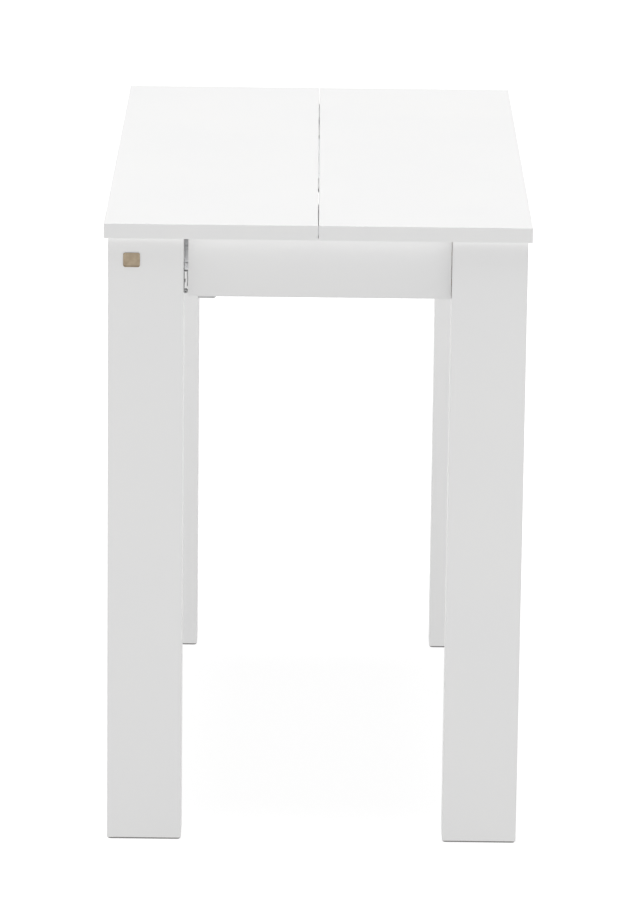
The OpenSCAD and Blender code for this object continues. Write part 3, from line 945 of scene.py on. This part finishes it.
def build_runners():
    for end, sign in (("front", -1), ("back", 1)):
        for k in range(1, MEMBERS + 1):
            node = f"runner_{end}_{k}"
            lo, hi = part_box(node)
            bm = extruded(node, member_outlines(hi.y - lo.y, hi.z - lo.z), hi.x - lo.x)
            inner_face = lo.y if sign > 0 else hi.y
            place = Matrix.Translation(((lo.x + hi.x) / 2, inner_face, (lo.z + hi.z) / 2))
            bmesh.ops.transform(bm, matrix=place @ Matrix.Diagonal((1, sign, 1, 1)), verts=bm.verts)
            piece = new_object(f"{node}.profile", mesh_from(bm, node), ALUMINIUM)
            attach(piece, BODY_OF[node])
            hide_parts(node)


# ---------------------------------------------------------------- carried-over CAD nodes


def dress(node, material, radius):
    """Keeps a CAD node, rounds its edges a little and gives it its finish."""
    piece = frame["nodes"][node]
    piece.data.materials.clear()
    piece.data.materials.append(material)
    weld = piece.modifiers.new("weld", "WELD")
    weld.merge_threshold = 1e-6
    rounding = piece.modifiers.new("round", "BEVEL")
    rounding.limit_method = "ANGLE"
    rounding.angle_limit = math.radians(40)
    rounding.width = radius
    rounding.segments = 2
    rounding.use_clamp_overlap = True
    smooth(piece)


def dress_the_rest():
    for end in ("front", "back"):
        dress(f"gap_clip_{end}", DARK_STEEL, 0.15 * MM)
        dress(f"tongue_{end}", WHITE_PLASTIC, 0.5 * MM)
    for side in ("right", "left"):
        dress(f"hangers_{side}", STEEL, 0.3 * MM)
        dress(f"cam_bolts_{side}", STEEL, 0.2 * MM)
        dress(f"dowels_{side}", BEECH, 0.4 * MM)
    dress("clip_screws", DARK_STEEL, 0.15 * MM)
    dress("stops_right", NYLON, 0.4 * MM)
    dress("glides_left", NYLON, 0.4 * MM)
    for end in ("front", "back"):
        for k in range(2, MEMBERS):
            dress(f"glide_set_{end}_{k}", NYLON, 0.4 * MM)


# ---------------------------------------------------------------- stage, light, camera

WALL_GLOW = 1.0
CEILING_GLOW = 0.2
FLOOR_GLOW = (0.93, 1.0)        # under the table, and out beyond it
FLOOR_FADE = (0.5, 1.5)         # distances from the origin between which the floor brightens
SUN_STRENGTH = 2.95
SUN_SPREAD = 24                 # degrees
RIGHT_WATTS, RIGHT_SIZE = 2, 1.6
LEFT_WATTS, LEFT_SIZE = 2.5, 2.2
CAMERA_PLACE = (-0.0052, -6.6336, 2.0785)
CAMERA_ANGLES = (0.035, 14.48, 0.666)   # yaw, downward pitch and roll, in degrees
CAMERA_LENS = 207.64            # millimetres, on a 36 mm wide sensor


def build_stage():
    """Wide white floor that glows like a lit studio sweep, a little less under the table."""
    bm = bmesh.new()
    bmesh.ops.create_grid(bm, x_segments=1, y_segments=1, size=60)
    floor = new_object("floor", mesh_from(bm, "floor"))
    n = Nodes("floor")
    n.finish(grey(0.12), 0.9, specular=0.1)
    away = n.add("ShaderNodeVectorMath", operation="LENGTH")
    n.link(n.place, away.inputs[0])
    glow = n.between(away.outputs["Value"], *FLOOR_GLOW, *FLOOR_FADE)
    n.shader.inputs["Emission Color"].default_value = (1, 1, 1, 1)
    n.link(glow, n.shader.inputs["Emission Strength"])
    floor.data.materials.append(n.material)


def build_light():
    """White walls all round, a dimmer ceiling, one broad lamp overhead and two soft side lamps."""
    world = bpy.data.worlds.new("studio")
    bpy.context.scene.world = world
    world.use_nodes = True
    tree = world.node_tree
    background = tree.nodes["Background"]
    background.inputs["Color"].default_value = (1, 1, 1, 1)
    direction = tree.nodes.new("ShaderNodeTexCoord")
    height = tree.nodes.new("ShaderNodeSeparateXYZ")
    strength = tree.nodes.new("ShaderNodeMapRange")
    tree.links.new(direction.outputs["Generated"], height.inputs["Vector"])
    tree.links.new(height.outputs["Z"], strength.inputs["Value"])
    tree.links.new(strength.outputs["Result"], background.inputs["Strength"])
    fade = {"From Min": 0.05, "From Max": 0.5, "To Min": WALL_GLOW, "To Max": CEILING_GLOW}
    for key, value in fade.items():
        strength.inputs[key].default_value = value
    middle = (0, 0, 0.5)
    lamp("ceiling", "SUN", SUN_STRENGTH, (0, 0, 3), (0, 0, 0)).angle = math.radians(SUN_SPREAD)
    lamp("right_key", "AREA", RIGHT_WATTS, (3.0, -2.6, 1.5), middle).size = RIGHT_SIZE
    lamp("left_fill", "AREA", LEFT_WATTS, (-3.2, -0.6, 1.5), middle).size = LEFT_SIZE
    bpy.context.scene.view_settings.view_transform = "Standard"


def lamp(name, kind, energy, place, aim):
    data = bpy.data.lights.new(name, kind)
    data.energy = energy
    lamp_object = bpy.data.objects.new(name, data)
    bpy.context.scene.collection.objects.link(lamp_object)
    lamp_object.location = place
    way = Vector(aim) - Vector(place)
    lamp_object.rotation_euler = way.to_track_quat("-Z", "Y").to_euler()
    return data


def build_camera():
    """A long lens in front of the short end, a little above the top and looking down."""
    yaw, pitch, roll = (math.radians(a) for a in CAMERA_ANGLES)
    place = Vector(CAMERA_PLACE)
    level = math.cos(pitch)
    ahead = Vector((math.sin(yaw) * level, math.cos(yaw) * level, -math.sin(pitch)))
    right = Vector((math.cos(yaw), -math.sin(yaw), 0))
    up = right.cross(ahead)
    turned_right = right * math.cos(roll) + up * math.sin(roll)
    turned_up = up * math.cos(roll) - right * math.sin(roll)
    rows = [[turned_right[i], turned_up[i], -ahead[i], place[i]] for i in range(3)] + [[0, 0, 0, 1]]
    data = bpy.data.cameras.new("camera")
    data.lens = CAMERA_LENS
    data.sensor_width = 36
    data.clip_end = 200
    camera = bpy.data.objects.new("camera", data)
    bpy.context.scene.collection.objects.link(camera)
    camera.matrix_world = Matrix(rows)
    bpy.context.scene.camera = camera


build_camera()
build_stage()
build_light()
build_tops()
build_legs()
build_rails()
build_aprons()
build_pads()
build_badge()
build_screws()
build_cams()
build_brackets()
build_stays()
build_runners()
dress_the_rest()
